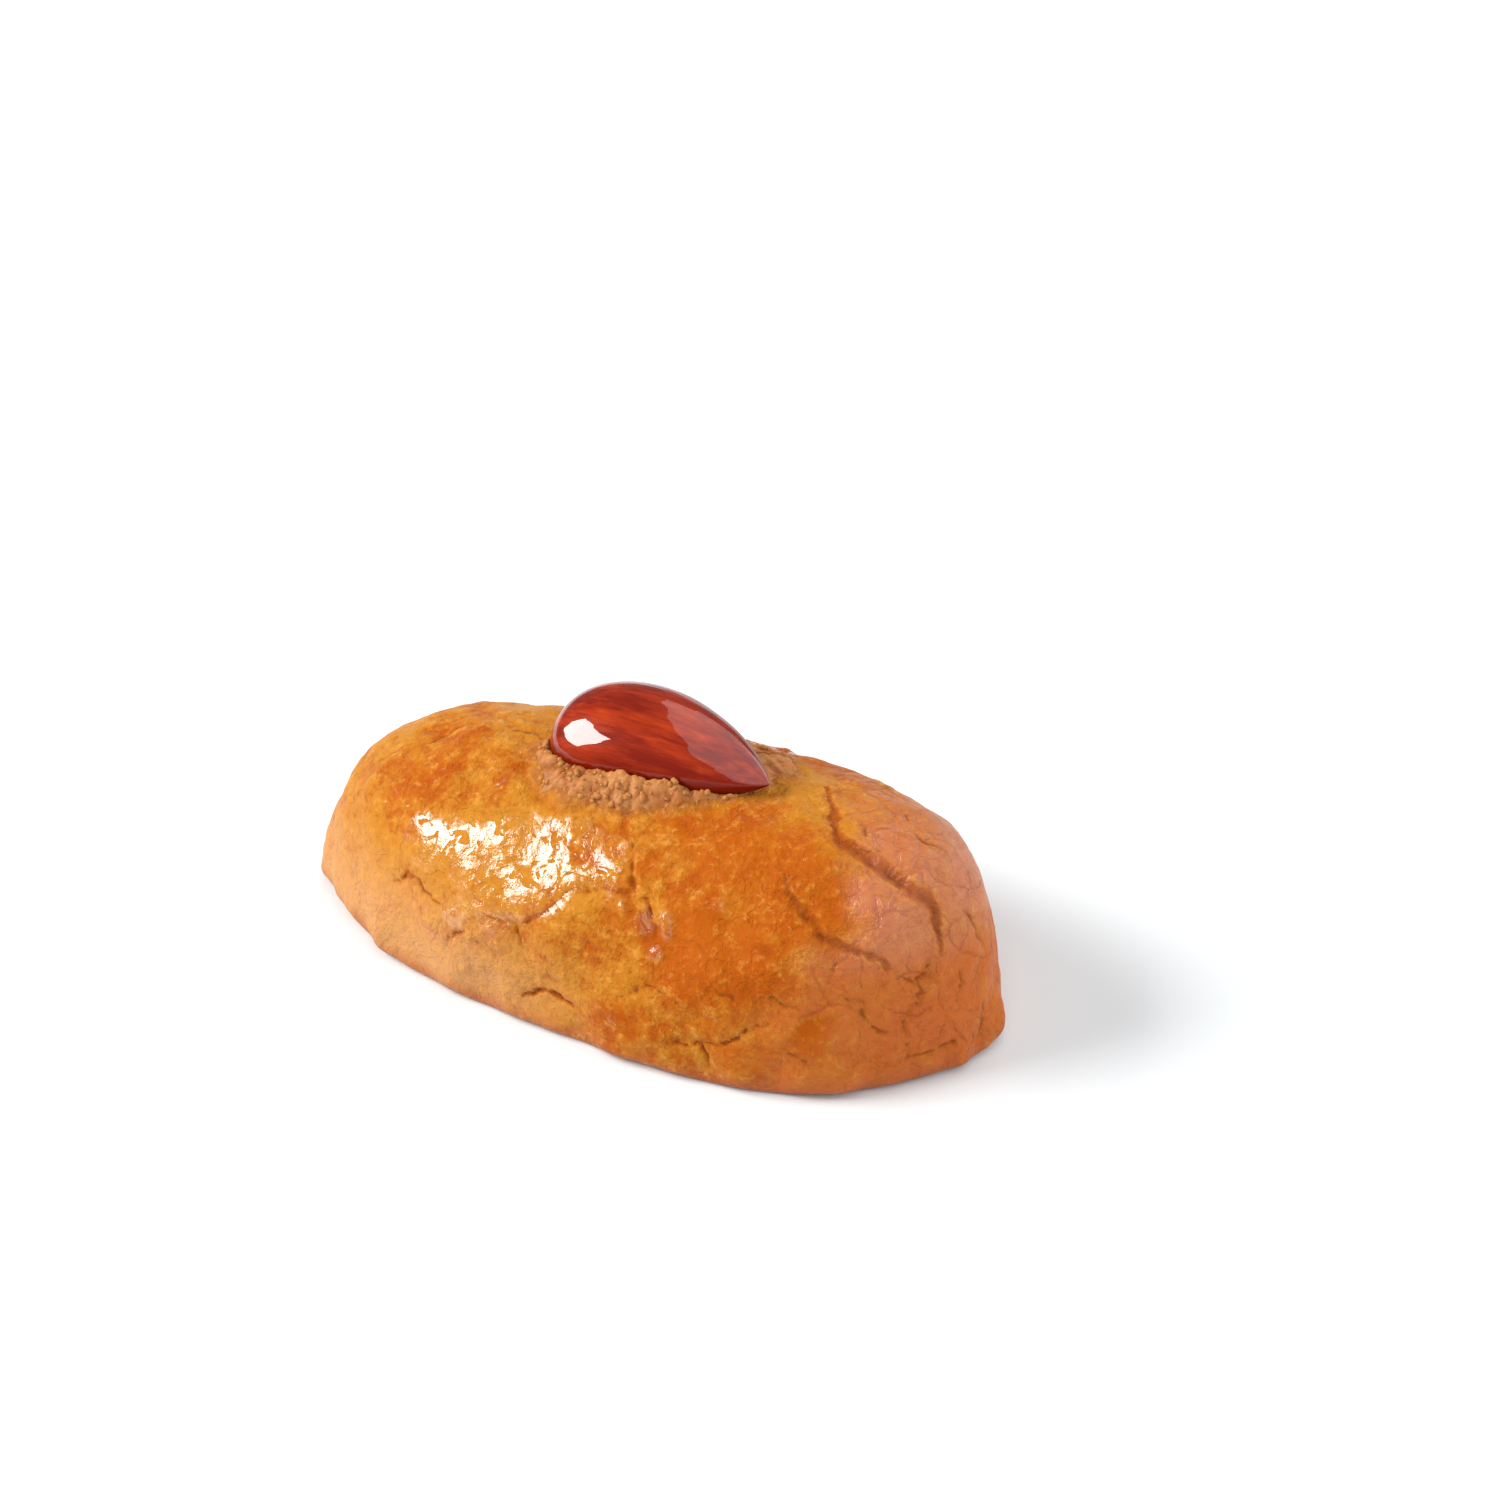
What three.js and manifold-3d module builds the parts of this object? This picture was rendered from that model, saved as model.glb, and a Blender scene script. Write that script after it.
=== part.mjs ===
// A syrup-soaked cookie: a hand-shaped loaf of dough with a flat foot, a cracked crust, and a whole glazed
// almond pressed into its crown within a crumbly collar. Millimetres, +Z up. X runs along the loaf, its blunt
// end at +X, and the side that faces the viewer is -Y. The foot lies on Z = 0.
import * as THREE from "three";
import { mergeVertices } from "three/addons/utils/BufferGeometryUtils.js";
import Module from "manifold-3d";

// Driving dimensions of the dough.
const LENGTH = 74.1;
const WIDTH = 37.3; // across the middle
const HEIGHT = 22.3; // of the crown at mid-length, without the almond
const BELT = 1.7; // height of the widest line above the foot
const FOOT_ROLL = 0.3; // share of the underside's half-ball that curls in before it lies flat
const SQUARENESS = 2.2; // exponent of the cross-section; 2 would be an ellipse
const END_POWER = 0.85; // below 1 the ends are blunter in plan than an ellipse's
const BOW = 1.4; // how far the middle lies behind both ends

// How the half-width and the height depart from an ellipse along the length, -1 at the narrow end to 1.
const PLAN = { lean: 0.16, full: 0.27, twist: -0.15, taper: -0.66 };
const CROWN = { lean: 0.03, full: 0.54, twist: 0.3, taper: 0.2 };

// The almond: blunt end to tip along its own X, and how it lies.
const ALMOND = {
  length: 23.9,
  width: 12.2,
  thickness: 8.7,
  blunt: 0.352, // power of the rounding at the blunt end
  point: 0.757, // power of the taper at the tip
  bow: 1.34, // how far its middle bends away from the viewer
  centre: new THREE.Vector3(-0.34, 0.51, 23.4),
  turn: -0.056, // radians about Z
  dip: -0.065, // tip up
  roll: 0.32, // broad face towards the viewer
  ridges: 9, // lengthwise wrinkles round the skin
  ridgeDepth: 0.012, // share of the radius
};
const ALMOND_RINGS = 20;
const ALMOND_SIDES = 30;
const SEAT_GAP = 0.3;

// The crumbly collar that the dough pushed up round the almond, in a groove where the crust broke away.
const COLLAR = {
  x: -0.5,
  y: 1.2,
  turn: 0.4, // radians about Z
  halfLength: 14.6,
  halfWidth: 8.8,
  inner: 0.74, // share of the ellipse where the collar starts to fall away
  rise: 0.55,
  lean: 0.35, // extra rise towards the blunt end and the viewer
};
const GROOVE = { depth: 0.55, width: 0.08 };
const GRAIN = { count: 44, smallest: 0.5, largest: 0.95, sunk: 0.25, from: 0.74, to: 0.96 };
const RANDOM_SEED = 41;

const GRID = { along: 38, across: 20, up: 12 }; // quads over the dough's box of faces
const CRACK_PITCH = 2.3; // spacing of the cross-sections along a crack
const CRACK_WANDER = 0.3; // how far a crack strays from its route

// Cracks, each a route over the crust from point to point. A point is [place along from -1 to 1, degrees
// round from the crown, with the viewer's side positive]. half is the half-width and deep the depth at the
// widest place.
const CRACKS = [
  {
    half: 1,
    deep: 1.4,
    route: [[0.46, -8], [0.52, 5], [0.61, 13], [0.72, 17], [0.82, 21], [0.87, 28], [0.9, 42]],
  },
  { half: 0.75, deep: 1, route: [[0.47, 27], [0.53, 36], [0.62, 44], [0.72, 49], [0.8, 54], [0.865, 57]] },
  { half: 0.6, deep: 0.8, route: [[0.85, 56], [0.87, 62], [0.845, 73], [0.868, 85]] },
  { half: 0.6, deep: 0.6, route: [[0.84, 54], [0.885, 46], [0.9, 41]] },
  { half: 0.7, deep: 0.8, route: [[0.03, 31], [0.07, 40], [0.136, 46], [0.184, 54]] },
  { half: 0.65, deep: 0.6, route: [[-0.65, 66], [-0.57, 61], [-0.47, 65]] },
  { half: 0.65, deep: 0.6, route: [[-0.37, 65], [-0.23, 62], [-0.11, 51], [0.08, 42]] },
  { half: 0.55, deep: 0.5, route: [[-0.433, 76], [-0.367, 70], [-0.304, 73]] },
  { half: 1, deep: 1, route: [[-0.196, 85], [-0.12, 80], [-0.036, 83]] },
  { half: 0.6, deep: 0.6, route: [[0.1, 73], [0.19, 68], [0.28, 70], [0.34, 70]] },
  { half: 0.55, deep: 0.5, route: [[0.344, 64], [0.407, 64], [0.436, 66]] },
  { half: 0.55, deep: 0.5, route: [[0.467, 62], [0.54, 63], [0.607, 67]] },
  { half: 0.65, deep: 0.7, route: [[0.25, 84], [0.34, 81], [0.45, 76], [0.525, 71]] },
  { half: 0.6, deep: 0.6, route: [[0.344, 81], [0.364, 85], [0.373, 91]] },
  { half: 0.55, deep: 0.5, route: [[0.576, 78], [0.647, 85]] },
  { half: 0.6, deep: 0.5, route: [[0.756, 59], [0.76, 69], [0.839, 75]] },
  { half: 0.6, deep: 0.5, route: [[0.687, 51], [0.672, 58], [0.747, 62]] },
  { half: 0.6, deep: 0.6, route: [[0.656, -15], [0.705, -8], [0.75, -6], [0.83, -15]] },
  { half: 0.6, deep: 0.6, route: [[0.899, 8], [0.948, 8], [0.965, -4]] },
  { half: 0.6, deep: 0.5, route: [[0.939, 40], [0.95, 50], [0.945, 61]] },
  { half: 0.7, deep: 0.6, route: [[-0.7, 10], [-0.605, -3], [-0.54, -7], [-0.384, -9]] },
  { half: 0.55, deep: 0.5, route: [[-0.862, 21], [-0.793, 17], [-0.73, 10]] },
  // The far side cracks in the same way.
  { half: 1, deep: 1.2, route: [[-0.52, -34], [-0.36, -46], [-0.2, -50], [-0.06, -61], [0.08, -64]] },
  { half: 0.8, deep: 0.9, route: [[0.3, -38], [0.42, -47], [0.5, -60], [0.62, -66], [0.74, -62]] },
  { half: 0.6, deep: 0.7, route: [[0.5, -60], [0.46, -74], [0.5, -88]] },
  { half: 0.6, deep: 0.7, route: [[-0.76, -52], [-0.63, -62], [-0.55, -76], [-0.4, -80]] },
  { half: 0.9, deep: 0.9, route: [[-0.08, -84], [0.02, -80], [0.14, -84], [0.2, -90]] },
  { half: 0.6, deep: 0.6, route: [[0.84, -38], [0.88, -54], [0.85, -72]] },
  { half: 0.55, deep: 0.5, route: [[-0.9, 8], [-0.86, -12], [-0.8, -24]] },
];

const wasm = await Module();
wasm.setup();

let randomState = RANDOM_SEED;
function random() {
  randomState = (randomState * 16807) % 2147483647;
  return randomState / 2147483647;
}

const between = (low, high) => low + (high - low) * random();
const swell = (t, s) => 1 + s.lean * t + s.full * t ** 2 + s.twist * t ** 3 + s.taper * t ** 4;

// Where a direction from the middle of a ball lands on the smooth loaf.
function loaf(dir) {
  const ring = Math.max(Math.hypot(dir.y, dir.z), 1e-9);
  const top = dir.z > 0;
  const rise = Math.abs(dir.z) / ring;
  const side = Math.abs(dir.y) / ring;
  const square = top ? (rise ** SQUARENESS + side ** SQUARENESS) ** (-1 / SQUARENESS) : 1;
  const blunt = Math.max(1 - dir.x ** 2, 1e-9) ** ((END_POWER - 1) / 2);
  const curl = Math.sin((Math.PI / 2) * Math.min(-dir.z / FOOT_ROLL, 1));
  return new THREE.Vector3(
    (LENGTH / 2) * dir.x,
    (WIDTH / 2) * dir.y * square * blunt * swell(dir.x, PLAN) - BOW * dir.x ** 2,
    top ? BELT + (HEIGHT - BELT) * dir.z * square * swell(dir.x, CROWN) : BELT * (1 - curl),
  );
}

// Low lumps from rolling the dough by hand.
function lumps(p) {
  return (
    0.26 * Math.sin(0.23 * p.x + 0.9) * Math.sin(0.31 * p.y + 0.27 * p.z + 0.4) +
    0.17 * Math.sin(0.52 * p.x - 0.34 * p.y + 1.7) * Math.sin(0.45 * p.z + 0.2 * p.x) +
    0.1 * Math.sin(0.95 * p.x + 0.6 * p.y) * Math.sin(0.8 * p.z - 0.5 * p.y + 1.1)
  );
}

// The slack, slightly scalloped edge where the dough spread on its tray.
function footSwell(p) {
  const round = Math.atan2(p.y / WIDTH, p.x / LENGTH);
  const wave = Math.sin(13 * round + 0.6) + 0.7 * Math.sin(22 * round + 2.1) + 0.45 * Math.sin(37 * round);
  return 0.26 * wave * (1 - THREE.MathUtils.smoothstep(p.z, 2, 8));
}

// A place in plan as a share of the collar's ellipse, and the angle round it from the ellipse's long axis.
function collarPlace(x, y) {
  const dx = x - COLLAR.x;
  const dy = y - COLLAR.y;
  const u = (dx * Math.cos(COLLAR.turn) + dy * Math.sin(COLLAR.turn)) / COLLAR.halfLength;
  const v = (dy * Math.cos(COLLAR.turn) - dx * Math.sin(COLLAR.turn)) / COLLAR.halfWidth;
  return { share: Math.hypot(u, v), round: Math.atan2(v, u) };
}

// The collar stands highest round the almond's blunt end and the viewer's side of it.
function collarRelief(p) {
  if (p.z < HEIGHT / 2) return 0;
  const { share, round } = collarPlace(p.x, p.y);
  const height = COLLAR.rise + COLLAR.lean * Math.cos(round + (3 * Math.PI) / 4);
  const slope = 1 - THREE.MathUtils.smoothstep(share, COLLAR.inner, 1);
  return height * slope - GROOVE.depth * Math.exp(-(((share - 1) / GROOVE.width) ** 2));
}

// The crust's point and outward normal in a direction.
function crust(dir) {
  const step = 1e-3;
  const along = new THREE.Vector3(0, 0, 1).cross(dir);
  if (along.length() < 0.1) along.set(0, 1, 0).cross(dir);
  along.normalize();
  const across = dir.clone().cross(along);
  const p = loaf(dir);
  const a = loaf(dir.clone().addScaledVector(along, step).normalize()).sub(p);
  const b = loaf(dir.clone().addScaledVector(across, step).normalize()).sub(p);
  const normal = a.cross(b).normalize();
  const rise = (lumps(p) + footSwell(p)) * THREE.MathUtils.smoothstep(p.z, 0, 1.5) + collarRelief(p);
  const point = p.addScaledVector(normal, rise);
  point.z = Math.max(point.z, 0);
  return { point, normal };
}

function directionAt(along, degrees) {
  const angle = THREE.MathUtils.degToRad(degrees);
  const ring = Math.sqrt(1 - along ** 2);
  return new THREE.Vector3(along, -Math.sin(angle) * ring, Math.cos(angle) * ring);
}

// A point of a cube's face, moved to the ball so that the quads stay even in size.
function cubeToBall({ x, y, z }) {
  return new THREE.Vector3(
    x * Math.sqrt(1 - y ** 2 / 2 - z ** 2 / 2 + (y ** 2 * z ** 2) / 3),
    y * Math.sqrt(1 - z ** 2 / 2 - x ** 2 / 2 + (z ** 2 * x ** 2) / 3),
    z * Math.sqrt(1 - x ** 2 / 2 - y ** 2 / 2 + (x ** 2 * y ** 2) / 3),
  ).normalize();
}

function welded(geometry) {
  const bare = geometry.clone();
  bare.deleteAttribute("normal");
  bare.deleteAttribute("uv");
  return mergeVertices(bare, 1e-4);
}

function moveVertices(geometry, place) {
  const position = geometry.attributes.position;
  const v = new THREE.Vector3();
  for (let i = 0; i < position.count; i++) {
    const moved = place(v.fromBufferAttribute(position, i));
    position.setXYZ(i, moved.x, moved.y, moved.z);
  }
  return geometry;
}

function solidOf(geometry) {
  const closed = welded(geometry);
  const vertProperties = closed.attributes.position.array;
  const triVerts = Uint32Array.from(closed.index.array);
  return new wasm.Manifold(new wasm.Mesh({ numProp: 3, vertProperties, triVerts }));
}

function geometryOf(solid) {
  const mesh = solid.getMesh();
  return new THREE.BufferGeometry()
    .setAttribute("position", new THREE.BufferAttribute(Float32Array.from(mesh.vertProperties), 3))
    .setIndex(new THREE.BufferAttribute(mesh.triVerts, 1));
}

function smoothDough() {
  const cube = welded(new THREE.BoxGeometry(2, 2, 2, GRID.along, GRID.across, GRID.up));
  return moveVertices(cube, (v) => crust(cubeToBall(v)).point);
}

// Cross-sections along a crack, each with the crust's point and normal there and the way ahead.
function crackStations(route) {
  const line = new THREE.SplineCurve(route.map(([along, degrees]) => new THREE.Vector2(along, degrees)));
  const at = (share) => {
    const { x, y } = line.getPoint(THREE.MathUtils.clamp(share, 0, 1));
    return crust(directionAt(x, y));
  };
  const samples = Array.from({ length: 25 }, (_, i) => at(i / 24).point);
  const length = samples.reduce((sum, p, i) => (i ? sum + p.distanceTo(samples[i - 1]) : 0), 0);
  const steps = Math.max(2, Math.round(length / CRACK_PITCH));
  return Array.from({ length: steps + 1 }, (_, i) => {
    const share = i / steps;
    const { point, normal } = at(share);
    const ahead = at(share + 0.01).point.sub(at(share - 0.01).point);
    const side = ahead.cross(normal).normalize();
    const size = Math.sin(Math.PI * (0.07 + 0.86 * share)) ** 0.6 * between(0.75, 1.2);
    point.addScaledVector(side, between(-CRACK_WANDER, CRACK_WANDER));
    return { point, normal, side, size };
  });
}

// A crack as a four-sided bar laid half in the crust along its route, thin at both ends.
function crackBar({ half, deep, route }) {
  const stations = crackStations(route);
  const steps = stations.length - 1;
  return moveVertices(new THREE.CylinderGeometry(1, 1, 1, 4, steps), ({ x, y, z }) => {
    const { point, normal, side, size } = stations[Math.round((y + 0.5) * steps)];
    return point
      .clone()
      .addScaledVector(side, x * half * size)
      .addScaledVector(normal, (z + 0.15) * deep * size);
  });
}

// Crumbs on the collar, all round the almond and closest together in front of it.
function crumbGrains(dough) {
  const mesh = new THREE.Mesh(dough);
  mesh.updateMatrixWorld();
  const ray = new THREE.Raycaster();
  const down = new THREE.Vector3(0, 0, -1);
  return Array.from({ length: GRAIN.count }, (_, i) => {
    const round = -Math.PI / 2 + Math.PI * (2 * ((i + 0.5) / GRAIN.count) - 1) ** 3 + between(-0.25, 0.25);
    const share = between(GRAIN.from, GRAIN.to);
    const u = COLLAR.halfLength * share * Math.cos(round);
    const v = COLLAR.halfWidth * share * Math.sin(round);
    const x = COLLAR.x + u * Math.cos(COLLAR.turn) - v * Math.sin(COLLAR.turn);
    const y = COLLAR.y + u * Math.sin(COLLAR.turn) + v * Math.cos(COLLAR.turn);
    ray.set(new THREE.Vector3(x, y, 2 * HEIGHT), down);
    const { z } = ray.intersectObject(mesh)[0].point;
    const radius = between(GRAIN.smallest, GRAIN.largest);
    return new THREE.IcosahedronGeometry(radius, 0)
      .rotateX(between(0, Math.PI))
      .rotateZ(between(0, Math.PI))
      .scale(between(0.9, 1.3), 1, between(0.7, 1))
      .translate(x, y, z - GRAIN.sunk * radius);
  });
}

// The almond's skin, its length and girth grown by a margin.
function almondShape(margin) {
  const { length, width, thickness, blunt, point, bow, ridges, ridgeDepth } = ALMOND;
  const widest = blunt / (blunt + point);
  const peak = widest ** blunt * (1 - widest) ** point;
  const outline = Array.from({ length: ALMOND_RINGS + 1 }, (_, i) => {
    const share = (1 - Math.cos((Math.PI * i) / ALMOND_RINGS)) / 2;
    const radius = (share ** blunt * (1 - share) ** point) / peak;
    const ends = i === 0 || i === ALMOND_RINGS;
    return new THREE.Vector2(ends ? 0 : (width / 2) * radius, share - 0.5);
  });
  // The lathe's tip is at its own +Y, and lies at +X here.
  return moveVertices(new THREE.LatheGeometry(outline, ALMOND_SIDES), ({ x, y, z }) => {
    const wrinkle = 1 + ridgeDepth * Math.cos(ridges * Math.atan2(z, x)) * Math.sin(Math.PI * (y + 0.5));
    return new THREE.Vector3(
      y * (length + 2 * margin),
      -x * wrinkle * (1 + (2 * margin) / width) + bow * (1 - 4 * y ** 2),
      z * wrinkle * ((thickness + 2 * margin) / width),
    );
  });
}

function layAlmond(object) {
  object.rotation.set(ALMOND.roll, ALMOND.dip, ALMOND.turn, "ZYX");
  object.position.copy(ALMOND.centre);
  object.updateMatrix();
  return object;
}

function cookieDough() {
  const dough = smoothDough();
  const cracks = CRACKS.map(crackBar).map(solidOf);
  const grains = crumbGrains(dough).map(solidOf);
  const seat = almondShape(SEAT_GAP).applyMatrix4(layAlmond(new THREE.Object3D()).matrix);
  return geometryOf(
    solidOf(dough)
      .subtract(wasm.Manifold.union(cracks))
      .add(wasm.Manifold.union(grains))
      .subtract(solidOf(seat)),
  );
}

const cookie = new THREE.Mesh(
  cookieDough(),
  new THREE.MeshStandardMaterial({ color: 0xdb8a35, roughness: 0.35, metalness: 0 }),
);
cookie.name = "cookie";

const almond = layAlmond(
  new THREE.Mesh(
    almondShape(0),
    new THREE.MeshStandardMaterial({ color: 0x8c2412, roughness: 0.12, metalness: 0 }),
  ),
);
almond.name = "almond";

// The part's origin is under the middle of the whole, on the foot.
const part = new THREE.Group();
part.add(cookie, almond);
const middle = new THREE.Box3().setFromObject(part).getCenter(new THREE.Vector3());
part.position.set(-middle.x, -middle.y, 0);

export default part;
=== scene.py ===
"""A syrup-soaked cookie: a cracked, glazed loaf of dough with a glazed almond in a crumbly collar on top.

Shapes are worked out in millimetres in the loaf's own frame, where X runs along the loaf, its blunt end at
+X, and the side that faces the viewer is -Y. They become metres, and move to the part's frame, as the last
step.
"""

import itertools
import math
import random

import bmesh
import bpy
import numpy as np
from bpy.props import FloatProperty, FloatVectorProperty, IntProperty, PointerProperty
from bpy.types import Operator, Panel, PropertyGroup
from mathutils import Euler, Matrix, Quaternion, Vector


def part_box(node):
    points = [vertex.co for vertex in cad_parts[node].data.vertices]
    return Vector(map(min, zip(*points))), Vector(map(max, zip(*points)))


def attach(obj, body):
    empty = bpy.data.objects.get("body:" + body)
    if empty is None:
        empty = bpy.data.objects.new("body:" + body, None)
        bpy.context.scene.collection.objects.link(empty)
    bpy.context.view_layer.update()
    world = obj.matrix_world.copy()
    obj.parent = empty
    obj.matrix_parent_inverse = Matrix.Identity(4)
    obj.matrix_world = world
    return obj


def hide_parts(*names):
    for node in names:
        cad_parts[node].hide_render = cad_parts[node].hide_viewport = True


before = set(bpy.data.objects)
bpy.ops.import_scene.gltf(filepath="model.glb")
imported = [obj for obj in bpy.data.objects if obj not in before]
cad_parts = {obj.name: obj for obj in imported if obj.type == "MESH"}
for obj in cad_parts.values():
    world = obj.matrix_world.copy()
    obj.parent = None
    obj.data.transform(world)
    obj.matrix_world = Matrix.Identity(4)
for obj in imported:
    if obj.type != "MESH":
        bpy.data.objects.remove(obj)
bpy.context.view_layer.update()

bl_info = {
    "name": "Syrup-soaked cookie",
    "version": (1, 0, 0),
    "blender": (4, 5, 0),
    "location": "View3D > Sidebar > Cookie",
    "description": "A cracked, glazed cookie with an almond on top, and a white studio to show it in",
    "category": "Object",
}

MM = 0.001
ROOT = "root"
CORNERS = list(itertools.product((0, 1), repeat=3))
NEIGHBOURS = list(itertools.product((-1, 0, 1), repeat=3))
LUMPS = 0.6  # size of the lumps of a noise node at a scale of 1

# How finely the meshes are cut: the crust along, across and up, and the others around and along.
CRUST_CUTS = (260, 140, 82)
ALMOND_CUTS = (220, 150)
BAND_CUTS = (72, 520)

# How the loaf's half-width and height depart from an ellipse along its length, as the factors of t, t^2 and
# so on, with t from -1 at the narrow end to 1.
PLAN_SWELL = (0.16, 0.27, -0.15, -0.66)
CROWN_SWELL = (0.03, 0.54, 0.3, 0.2)
FOOT_ROLL = 0.4  # the share of the ball's lower half that becomes the turned-under foot
SQUARENESS = 2.2  # of a section across the loaf, where 2 is an ellipse
END_POWER = 0.85  # how blunt both ends are in plan, where 1 is an ellipse
BOW = 1.4  # how far the middle lies behind both ends, in mm

# The collar of crumb round the almond, an ellipse in plan, in mm. It stands higher on one side by the lean.
COLLAR_CENTRE = (-0.5, 1.2)
COLLAR_TURN = 0.4
COLLAR_HALF = (14.2, 7.9)
COLLAR_LEAN = 0.35
BAND_EDGE = 0.93  # the outer edge of the band of crumb, as a share of that ellipse, and its inner edge
BAND_HOLE = 0.42
LOOSE_BAND = (0.66, 1.0)  # where loose grains lie, in the same shares
RING = 3  # radius of the ring that becomes that band, whose own section has a radius of 1
OVERHEAD = 60  # a height well above the cookie, in mm, from which crumbs are dropped on it

# Where the hands pressed the dough in or out: place along, degrees round, reach and rise in mm.
HAND_MARKS = [
    (-0.8, -20, 5, 0.45),
    (-0.95, -12, 3.5, -0.45),
    (0.89, -38, 5, 0.55),
    (0.985, 45, 6, -0.6),
    (-0.42, 67, 5, 0.5),
    (-0.16, 63, 5, 0.5),
    (0.03, 54, 4, 0.35),
]

# Beads of dried syrup that catch the light, in the same form.
BEADS = [
    (0.327, 41, 0.9, 0.3),
    (0.192, 48, 0.9, 0.4),
    (0.207, 52, 0.8, 0.38),
    (0.187, 58, 0.9, 0.4),
    (0.127, 52, 0.7, 0.2),
    (0.062, 48, 0.8, 0.25),
    (-0.421, 67, 0.9, 0.3),
    (-0.377, 65, 1.1, 0.25),
    (0.2, -40, 0.9, 0.3),
    (-0.1, -55, 0.9, 0.3),
]

# The almond's outline, as the powers of the distances from its blunt end and its point, and how far it bends
# away from the viewer, in mm.
ALMOND_BLUNT = 0.352
ALMOND_POINT = 0.757
ALMOND_BOW = 1.34

CRACK_STEPS = 90  # points along a crack
CRACK_REACH = 5  # no crack or slump reaches further than this, in mm

# Cracks: half-width and depth at the widest place, in mm, then the route. A point of a route is its place
# along the loaf, from -1 to 1, and its degrees round from the crown, with the viewer's side positive.
CRACKS = [
    (0.9, 0.5, [(0.433, -13), (0.496, -2), (0.522, 5), (0.57, 11), (0.613, 13), (0.667, 15), (0.716, 17),
                 (0.767, 19), (0.816, 21), (0.848, 24), (0.87, 28), (0.888, 36), (0.899, 42)]),
    (0.7, 0.38, [(0.467, 27), (0.493, 32), (0.53, 36), (0.57, 40), (0.622, 44), (0.667, 46), (0.719, 49),
                 (0.767, 49), (0.796, 54)]),
    (0.28, 0.3, [(0.796, 54), (0.833, 55), (0.865, 57), (0.87, 62), (0.85, 69), (0.845, 73), (0.848, 78),
                 (0.868, 85)]),
    (0.26, 0.35, [(0.833, 55), (0.859, 53), (0.885, 46), (0.899, 42)]),
    (0.3, 0.4, [(0.024, 30), (0.047, 35), (0.073, 41), (0.096, 44), (0.136, 46), (0.156, 50), (0.184, 54)]),
    (0.3, 0.35, [(-0.65, 66), (-0.619, 63), (-0.573, 61), (-0.522, 64), (-0.47, 65)]),
    (0.26, 0.3, [(-0.373, 65), (-0.304, 63), (-0.23, 62), (-0.15, 57), (-0.11, 51), (-0.056, 47), (0.041, 45),
                 (0.081, 42)]),
    (0.22, 0.25, [(-0.433, 76), (-0.422, 73), (-0.367, 70), (-0.304, 73)]),
    (0.2, 0.25, [(-0.224, 62), (-0.216, 65), (-0.202, 68)]),
    (0.5, 0.5, [(-0.196, 85), (-0.161, 82), (-0.119, 80), (-0.079, 81), (-0.036, 83)]),
    (0.24, 0.3, [(0.101, 73), (0.164, 69), (0.23, 68), (0.279, 70), (0.342, 70)]),
    (0.2, 0.25, [(0.344, 64), (0.407, 64), (0.436, 66)]),
    (0.2, 0.25, [(0.467, 62), (0.53, 63), (0.582, 65), (0.607, 67)]),
    (0.3, 0.4, [(0.25, 84), (0.342, 81), (0.41, 79), (0.447, 76), (0.487, 73), (0.525, 71)]),
    (0.3, 0.4, [(0.344, 81), (0.364, 85), (0.373, 90)]),
    (0.22, 0.3, [(0.576, 78), (0.613, 81), (0.647, 85)]),
    (0.28, 0.3, [(0.756, 59), (0.747, 64), (0.765, 70), (0.796, 74), (0.839, 75)]),
    (0.26, 0.28, [(0.687, 51), (0.667, 54), (0.679, 59), (0.71, 62), (0.747, 62)]),
    (0.3, 0.4, [(0.853, 85), (0.902, 84), (0.948, 82), (0.982, 79)]),
    (0.18, 0.2, [(0.593, 0), (0.63, 8), (0.673, 10)]),
    (0.22, 0.3, [(0.656, -15), (0.705, -8), (0.75, -6), (0.81, -10), (0.833, -15)]),
    (0.22, 0.28, [(0.899, 8), (0.925, 7), (0.948, 8), (0.965, -4)]),
    (0.22, 0.25, [(0.939, 40), (0.95, 50), (0.945, 61)]),
    (0.22, 0.25, [(0.99, 30), (0.993, 51), (0.993, 76)]),
    (0.24, 0.3, [(-0.699, 10), (-0.653, 4), (-0.605, -3), (-0.542, -7), (-0.384, -9)]),
    (0.22, 0.25, [(-0.862, 21), (-0.793, 17), (-0.73, 10)]),
    (0.2, 0.22, [(-0.459, -1), (-0.407, -2), (-0.344, -1)]),
    # The far side cracks in the same way.
    (0.5, 0.9, [(-0.52, -34), (-0.44, -42), (-0.36, -46), (-0.2, -50), (-0.06, -61), (0.08, -64)]),
    (0.36, 0.6, [(0.3, -38), (0.42, -47), (0.5, -60), (0.62, -66), (0.74, -62)]),
    (0.28, 0.4, [(0.5, -60), (0.46, -74), (0.5, -88)]),
    (0.28, 0.4, [(-0.76, -52), (-0.63, -62), (-0.55, -76), (-0.4, -80)]),
    (0.45, 0.6, [(-0.08, -84), (0.02, -80), (0.14, -84), (0.2, -90)]),
    (0.28, 0.4, [(0.84, -38), (0.88, -54), (0.85, -72)]),
    (0.22, 0.3, [(-0.9, 8), (-0.86, -12), (-0.8, -24)]),
    (0.24, 0.35, [(0.1, -30), (0.2, -37), (0.28, -52), (0.24, -64)]),
]

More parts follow.
